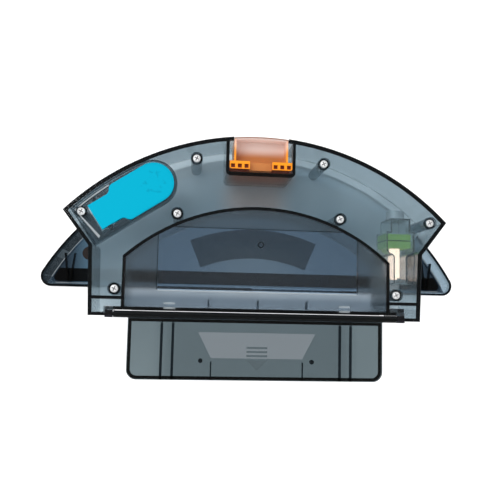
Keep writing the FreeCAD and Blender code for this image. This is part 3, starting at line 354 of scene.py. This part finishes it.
def shell_plastic():
    """Lower shell: milky, patchy floor in the water chamber, clear floor in the dust box with a painted pool
    of light in its middle, smoky walls, hinge blocks painted black, painted light that makes the front, the
    outer rim and its left side paler and the screw posts lighter, and a painted orange glow in front of the
    latch."""
    surface = Surface("smoky_shell")
    x, y, z = surface.place()
    grain = surface.noise(30, 4)
    across = x.size()
    hinge = across.within(*HINGE_SIDE) * (1 - y.step(*HINGE_FRONT))
    cloud = surface.noise(14, 2).step(0.35, 0.7)
    # Painted light: the haze is made paler towards the front and towards the outer rim, most on the left
    # side.
    rim = distance(x, y).step(*RIM_FADE) * (1 - x.step(*LEFT_FADE) * 0.75)
    painted_light = (1 - y.step(*EAR_FRONT)).most((1 - y.step(*LEG_FADE)) * 0.4, rim)
    # Painted light: an orange glow on the floor in front of the latch, for light thrown off the orange
    # latch.
    floor_latch_glow = (1 - across.step(*FLOOR_GLOW_SIDE)) * y.within(*FLOOR_GLOW_REACH)
    haze = surface.blend(cloud, (0.46, 0.54, 0.58), (0.70, 0.77, 0.80))
    haze = surface.blend(painted_light, haze, (0.98, 0.98, 0.98))
    haze = surface.blend(floor_latch_glow * 0.6, haze, (0.95, 0.62, 0.50))
    haze = surface.blend(hinge, haze, BLACK_TINT)
    milky = smoky_body(surface, haze, grain * 0.2 + 0.25, clearness=0.62)
    # Painted light: a pool of light in the middle of the dust box floor, which is left clear there and
    # tinted blue-grey further out.
    glow = 1 - distance(x * 0.5, y - BRIGHT_MIDDLE).step(*BRIGHT_FADE)
    bright = surface.blend(glow, (0.72, 0.80, 0.88), CLEAR_TINT)
    clear = smoky_body(surface, bright, grain * 0.1 + 0.04)
    floor = surface.over(inside_arch(x, y), milky, clear)
    # Painted light: the same orange glow on the walls in front of the latch.
    wall_latch_glow = (1 - across.step(*WALL_GLOW_SIDE)) * y.within(*WALL_GLOW_REACH)
    shade = surface.blend(hinge, (0.62, 0.68, 0.71), BLACK_TINT)
    # Painted light: the wall plastic round the screw posts is made lighter, taking away the darkness of the
    # thick posts.
    shade = surface.blend(near_screws(x, y), shade, (0.96, 0.98, 0.98))
    shade = surface.blend(wall_latch_glow * 0.85, shade, (1.0, 0.62, 0.45))
    wall = smoky_body(surface, shade, grain * 0.1 + 0.08, clearness=0.97)
    surface.see_through(surface.over(z.step(*FLOOR_TOP), floor, wall), SMOKE_TINT, 170)
    return surface.material


FLAP_FACE = COVER_TOP - 1.8 * MM
FLAP_RIB_LEVEL = FLAP_FACE + 0.1 * MM
FLAP_RIB_END = (50 * MM, 51 * MM)
ARROW_LEVELS = (FLAP_FACE - 0.30 * MM, FLAP_FACE - 0.20 * MM, 0.02 * MM)
PANEL_LEVELS = (FLAP_FACE - 0.55 * MM, FLAP_FACE - 0.45 * MM, 0.02 * MM)
PEG_TOP = (FLAP_FACE - 2.4 * MM, FLAP_FACE - 2.0 * MM)
ROD_FRONT = (52.6 * MM, 53.2 * MM)
FLAP_ENDS = (52 * MM, 66 * MM)


def door_plastic():
    """Door: satin flap, paler at its ends, whose rod, ribs, arrow and pegs look dark."""
    surface = Surface("door_plastic")
    x, y, z = surface.place()
    ribs = z.above(FLAP_RIB_LEVEL, 0.05 * MM) * (1 - y.step(*FLAP_RIB_END))
    arrow = z.within(*ARROW_LEVELS)
    panel = z.within(*PANEL_LEVELS)
    pegs = 1 - z.step(*PEG_TOP)
    rod = y.step(*ROD_FRONT)
    satin = surface.blend(x.size().step(*FLAP_ENDS), (0.66, 0.73, 0.74), (0.92, 0.99, 0.99))
    satin = surface.blend(panel, satin, (0.88, 0.80, 0.82))
    tint = surface.blend(ribs.most(arrow * 0.5, pegs, rod * 0.93), satin, DARK_TINT)
    roughness = surface.noise(35, 4) * 0.12 + 0.15 + rod * 0.3
    surface.see_through(smoky_body(surface, tint, roughness, THIN_INDEX), (0.36, 0.42, 0.45), 1650)
    return surface.material


RIM_LEVELS = (5.4 * MM, 5.8 * MM)
RIM_SIDE = (60 * MM, 61 * MM)
BAND_START = (157.2 * MM, 157.8 * MM)
BAND_FRONT = (73.8 * MM, 74.4 * MM)
BAND_MIDDLE = (-1 * MM, 1 * MM)
WING_START = (103 * MM, 106 * MM)
WING_FADE = (110 * MM, 128 * MM)
PAD_REACH = (93 * MM, 116 * MM, 1.2 * MM)
PAD_HALF = 46 * MM
PAD_SOFT = 1.2 * MM
PAD_LEVELS = (5.0 * MM, 5.2 * MM)
PALE_ARC = (156.9 * MM, 157.3 * MM, 0.1 * MM)
PALE_FRONT = (74.5 * MM, 74.9 * MM, 0.1 * MM)
PALE_LEVELS = (3.3 * MM, 3.8 * MM, 0.05 * MM)


def plate_plastic():
    """Mopping plate: black rim and ribs, blue inside the wings, a brownish curved pad, and a painted
    highlight line along the step inside the rim."""
    surface = Surface("plate_plastic")
    x, y, z = surface.place()
    radius = distance(x, y)
    across = x.size()
    rims = z.step(*RIM_LEVELS) * across.step(*RIM_SIDE)
    band = radius.step(*BAND_START).most(1 - y.step(*BAND_FRONT))
    left_band = band * (1 - x.step(*BAND_MIDDLE)) * 0.93
    wing = across.step(*WING_START) * (1 - band)
    pad = radius.within(*PAD_REACH) * across.below(PAD_HALF, PAD_SOFT) * z.step(*PAD_LEVELS)
    inner_blue = surface.blend(across.step(*WING_FADE), (0.30, 0.48, 0.62), (0.03, 0.06, 0.10))
    tint = surface.blend(wing * 0.9, (0.86, 0.90, 0.95), inner_blue)
    tint = surface.blend(pad, tint, (1.0, 0.80, 0.70))
    tint = surface.blend(rims.most(left_band), tint, (0.02, 0.025, 0.03))
    body = smoky_body(surface, tint, 0.06, 1.25)
    # Painted highlight: a whitish, less clear shader along the step inside the rim, where the step would
    # catch light.
    painted_light = smoky_body(surface, (0.8, 0.84, 0.86), 0.3, 1.35, 0.1)
    line = radius.within(*PALE_ARC).most(y.within(*PALE_FRONT)) * z.within(*PALE_LEVELS) * (1 - left_band)
    surface.see_through(surface.over(line * 0.45, body, painted_light), SMOKE_TINT, 1000)
    return surface.material


def screw_steel():
    """Screw heads that glow a little as painted light, with dark crosses painted as shade in their recesses.
    """
    surface = Surface("screw_steel", Metallic=0.2, Roughness=0.35)
    # Painted light: the heads glow a little, though they are no lamp.
    surface.feed(surface.shader.inputs["Emission Color"], CLEAR_TINT)
    surface.feed(surface.shader.inputs["Emission Strength"], 0.12)
    x, y, z = surface.place()
    # Painted shade: the cross recesses are coloured dark.
    colour = surface.blend(screw_crosses(x, y), (0.94, 0.95, 0.95), (0.10, 0.10, 0.11))
    surface.feed(surface.shader.inputs["Base Color"], colour)
    return surface.material


def solid_finish(name, colour, roughness, glow=0.0, **values):
    """An opaque finish with slight unevenness in its gloss; a glow, where given, is painted light."""
    surface = Surface(name)
    if glow:
        values["Emission_Color"] = colour
        values["Emission_Strength"] = glow
    worn = surface.noise(60, 3) * 0.12 + (roughness - 0.06)
    shader = surface.principled(Base_Color=colour, Roughness=worn, **values)
    surface.tree.links.new(shader.outputs[0], surface.output.inputs["Surface"])
    return surface.material


GRIP_INNER = 7.2 * MM
GRIP_REAR = (153.7 * MM, 154.0 * MM)
GRIP_FACE = (44.6 * MM, 45.0 * MM)
LATCH_INNER = 16.1 * MM
LATCH_FADE = (155 * MM, 168 * MM)
LATCH_PALE = (158 * MM, 165 * MM)
LATCH_UPPER = (44.0 * MM, 44.6 * MM)
GREY_BAND = (165.8 * MM, 168.6 * MM)
LATCH_EDGE = (168.6 * MM, 169.0 * MM)


def latch_plastic():
    """Orange moulding: bright grips, sides and rear face, a salmon finger pad that pales towards the
    rear, and a grey band with a brown edge along the top of the rear."""
    surface = Surface("orange_plastic", Roughness=0.3)
    x, y, z = surface.place()
    across = x.size()
    radius = distance(x, y)
    grips = across.above(GRIP_INNER) * (1 - y.step(*GRIP_REAR))
    sides = across.above(LATCH_INNER) * (1 - y.step(*LATCH_FADE) * 0.55)
    upper = z.step(*LATCH_UPPER)
    edge = radius.step(*LATCH_EDGE)
    pad = surface.blend(y.step(*LATCH_PALE), (0.60, 0.22, 0.06), (0.92, 0.76, 0.70))
    pad = surface.blend(radius.within(*GREY_BAND) * upper * 0.8, pad, (0.60, 0.55, 0.58))
    colour = surface.blend(grips.most(sides, edge * (1 - upper)), pad, (0.95, 0.30, 0.008))
    colour = surface.blend(edge * upper, colour, (0.30, 0.17, 0.13))
    # Painted shade: the grips' faces below their top, in their pockets, are coloured dark red.
    colour = surface.blend(grips * (1 - z.step(*GRIP_FACE)), colour, (0.22, 0.02, 0.0))
    surface.feed(surface.shader.inputs["Base Color"], colour)
    return surface.material


PLUG_HEAD = (-67.5 * MM, 137.4 * MM)
PLUG_MARKS = (2.5 * MM, 8 * MM, 1.5 * MM)


def plug_rubber():
    """Cyan rubber with a faint worn ring of marks on the round head."""
    surface = Surface("cyan_rubber", Roughness=0.6, Specular_IOR_Level=0.05)
    x, y, z = surface.place()
    marks = distance(x - PLUG_HEAD[0], y - PLUG_HEAD[1]).within(*PLUG_MARKS)
    marks = marks * surface.noise(420, 2, 0.6).step(0.53, 0.66)
    colour = surface.blend(marks * 0.35, (0.0, 0.37, 0.54), (0.0, 0.20, 0.32))
    surface.feed(surface.shader.inputs["Base Color"], colour)
    surface.feed(surface.shader.inputs["Normal"], surface.bump(marks, 0.5, 0.2 * MM))
    return surface.material


def hook_tape():
    """Black tape, rough with small hooks."""
    surface = Surface("hook_tape", Base_Color=(0.008, 0.008, 0.010), Roughness=0.9)
    where = surface.node("ShaderNodeTexCoord", output="Object")
    tufts = surface.node("ShaderNodeTexVoronoi", {}, {"Vector": where, "Scale": 900.0})
    surface.feed(surface.shader.inputs["Normal"], surface.bump(tufts, 0.6, 0.4 * MM))
    return surface.material


FINISHES = {
    "smoky_shell": shell_plastic(),
    "smoky_cover": cover_plastic(),
    "door_plastic": door_plastic(),
    "plate_plastic": plate_plastic(),
    "clear_case": case_plastic(),
    "smoky_pin": solid_finish("smoky_pin", (0.02, 0.025, 0.03), 0.4, Specular_IOR_Level=0.2),
    "seal_rubber": solid_finish("seal_rubber", (0.004, 0.006, 0.008), 0.6, Specular_IOR_Level=0.05),
    "cyan_rubber": plug_rubber(),
    "grey_rubber": solid_finish("grey_rubber", (0.42, 0.46, 0.48), 0.35),
    "orange_plastic": latch_plastic(),
    "screw_steel": screw_steel(),
    "spring_steel": solid_finish("spring_steel", (0.6, 0.6, 0.6), 0.3, Metallic=1.0),
    "hook_tape": hook_tape(),
    "brown_post": solid_finish("brown_post", (0.014, 0.008, 0.007), 0.5, Specular_IOR_Level=0.2),
    # Painted light: the green pump body glows a little and the motor strongly, though neither is a lamp.
    "green_plastic": solid_finish("green_plastic", (0.26, 0.48, 0.08), 0.45, glow=0.12),
    "motor_metal": solid_finish("motor_metal", (1.0, 0.66, 0.50), 0.4, glow=2.4),
    "black_plastic": solid_finish("black_plastic", (0.012, 0.012, 0.014), 0.4),
    "contact_brass": solid_finish("contact_brass", (0.85, 0.72, 0.42), 0.25, Metallic=1.0),
}

SLOT_OF_NODE = {part["node"]: part["material_slot"] for part in frame["record"]["subparts"]}


def dress(thing, slot):
    """Gives a piece its slot's finish."""
    thing.data.materials.clear()
    thing.data.materials.append(FINISHES[slot])


for name, node in frame["nodes"].items():
    dress(node, SLOT_OF_NODE[name])


# Pieces in place of the model's own mesh: finer screws, and copies of the springs


def stand_in(name, body, form):
    """A finer piece in a node's place, with the node's finish."""
    mesh = bpy.data.meshes.new(f"{name}_fine")
    form.to_mesh(mesh)
    form.free()
    piece = bpy.data.objects.new(f"{name}_fine", mesh)
    bpy.context.scene.collection.objects.link(piece)
    dress(piece, SLOT_OF_NODE[name])
    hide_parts(name)
    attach(piece, body)
    return piece


def screw_face(x, y):
    """Height of a domed head with a cross recess, above the head's seat."""
    reach = math.hypot(x, y)
    height = HEAD_HEIGHT - HEAD_CROWN * (reach / HEAD_RADIUS) ** 3
    near, far = sorted((abs(x * CROSS_COS + y * CROSS_SIN), abs(y * CROSS_COS - x * CROSS_SIN)))
    if near < CROSS_HALF and far < CROSS_REACH:
        height -= CROSS_DEPTH * (1 - far / CROSS_REACH) + CROSS_LEAST
    return height


def add_screw(form, x, y, seat, side_x):
    """A screw standing on its head's seat, as one closed surface turned round its axis."""
    rings = [[form.verts.new((x, y, seat + screw_face(0, 0)))]]
    for ring in range(1, RINGS + 1):
        reach = HEAD_RADIUS * ring / RINGS
        loop = []
        for side in range(SIDES):
            angle = 2 * math.pi * side / SIDES
            across, along = reach * math.cos(angle), reach * math.sin(angle)
            level = seat + screw_face(across * side_x, along)
            loop.append(form.verts.new((x + across, y + along, level)))
        rings.append(loop)
    for reach, level in ((HEAD_RADIUS, 0), (SHANK_RADIUS, 0), (SHANK_RADIUS, -SCREW_LENGTH)):
        loop = []
        for side in range(SIDES):
            angle = 2 * math.pi * side / SIDES
            across, along = reach * math.cos(angle), reach * math.sin(angle)
            loop.append(form.verts.new((x + across, y + along, seat + level)))
        rings.append(loop)
    for side in range(SIDES):
        after = (side + 1) % SIDES
        form.faces.new((rings[0][0], rings[1][side], rings[1][after]))
        for inner, outer in zip(rings[1:], rings[2:]):
            form.faces.new((inner[side], outer[side], outer[after], inner[after]))
    form.faces.new(list(reversed(rings[-1])))


def finer_screws():
    """The eight screws with domed heads and cross recesses."""
    form = bmesh.new()
    for screw_x, screw_y in SCREWS:
        for side in (-1, 1):
            in_tray = side < 0 and screw_x > TRAY_INNER
            seat = COVER_TOP - (TRAY_SEAT_DEPTH if in_tray else SEAT_DEPTH)
            add_screw(form, side * screw_x, screw_y + ROBOT_Y, seat, side)
    bmesh.ops.recalc_face_normals(form, faces=form.faces)
    stand_in("cover_screws", "tank", form)


def squeezed_spring(name):
    """A copy of a spring's mesh in its node's place, riding with the tank."""
    node = frame["nodes"][name]
    form = bmesh.new()
    form.from_mesh(node.data)
    form.transform(node.matrix_world)
    spring = stand_in(name, "tank", form)
    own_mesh(spring)


finer_screws()
for spring_name in ("latch_spring_left", "latch_spring_right"):
    squeezed_spring(spring_name)


# Table, light and camera


def stage_surface(name, colour, glow):
    surface = Surface(name, Base_Color=colour, Roughness=0.8)
    surface.feed(surface.shader.inputs["Emission Color"], (1, 1, 1))
    surface.feed(surface.shader.inputs["Emission Strength"], glow)
    return surface.material


FLOOR_REACH = 4.0
TABLE_GREY = (0.5, 0.5, 0.5)
TABLE_GLOW = 0.75
SIDE_LIGHT = 1.7
SIDE_TOP = 0.55
ZENITH_LIGHT = 0.3
ZENITH_START = 0.85
SOFTBOX_PLACE = (-0.7, 0.5, 1.3)
SOFTBOX_REACH = 0.9
SOFTBOX_POWER = 9.0

floor_mesh = bpy.data.meshes.new("table")
form = bmesh.new()
bmesh.ops.create_grid(form, x_segments=1, y_segments=1, size=FLOOR_REACH)
form.to_mesh(floor_mesh)
form.free()
table = bpy.data.objects.new("table", floor_mesh)
bpy.context.scene.collection.objects.link(table)
table.data.materials.append(stage_surface("white_table", TABLE_GREY, TABLE_GLOW))

world = bpy.data.worlds.new("soft_room")
world.use_nodes = True
sky = world.node_tree.nodes["Background"]
direction = world.node_tree.nodes.new("ShaderNodeTexCoord")
split = world.node_tree.nodes.new("ShaderNodeSeparateXYZ")
fade = world.node_tree.nodes.new("ShaderNodeMapRange")
fade.interpolation_type = "SMOOTHSTEP"
fade.inputs["From Min"].default_value = SIDE_TOP
fade.inputs["From Max"].default_value = ZENITH_START
fade.inputs["To Min"].default_value = SIDE_LIGHT
fade.inputs["To Max"].default_value = ZENITH_LIGHT
world.node_tree.links.new(direction.outputs["Generated"], split.inputs[0])
world.node_tree.links.new(split.outputs["Z"], fade.inputs["Value"])
world.node_tree.links.new(fade.outputs["Result"], sky.inputs["Strength"])
sky.inputs["Color"].default_value = (1, 1, 1, 1)
bpy.context.scene.world = world
bpy.context.scene.view_settings.view_transform = "Standard"

SENSOR = 36.0
PHOTO_PIXELS = 500
FOCAL_PIXELS = 600
CAMERA_TILT = -0.0901984
CAMERA_YAW = 0.0931084
CAMERA_ROLL = -0.0229169
CAMERA_OFFSET = Vector((3.738893, -96.5745482, -368.758217)) * MM


def add_camera():
    roll = Matrix.Rotation(CAMERA_ROLL, 3, "Z")
    tilt = Matrix.Rotation(CAMERA_TILT, 3, "X")
    yaw = Matrix.Rotation(CAMERA_YAW, 3, "Y")
    turn = (roll @ tilt @ yaw).transposed()
    lens = bpy.data.cameras.new("photo_camera")
    lens.sensor_width = SENSOR
    lens.lens = SENSOR * FOCAL_PIXELS / PHOTO_PIXELS
    lens.clip_start = 0.01
    camera = bpy.data.objects.new("photo_camera", lens)
    bpy.context.scene.collection.objects.link(camera)
    place = -(turn @ CAMERA_OFFSET) + Vector((0, ROBOT_Y, COVER_TOP))
    camera.matrix_world = Matrix.Translation(place) @ turn.to_4x4()
    bpy.context.scene.camera = camera


def add_softbox(name, place, reach, power):
    light = bpy.data.lights.new(name, "AREA")
    light.size = reach
    light.energy = power
    lamp = bpy.data.objects.new(name, light)
    bpy.context.scene.collection.objects.link(lamp)
    lamp.location = place
    lamp.rotation_euler = (-Vector(place)).to_track_quat("-Z", "Y").to_euler()


add_camera()
add_softbox("softbox", SOFTBOX_PLACE, SOFTBOX_REACH, SOFTBOX_POWER)
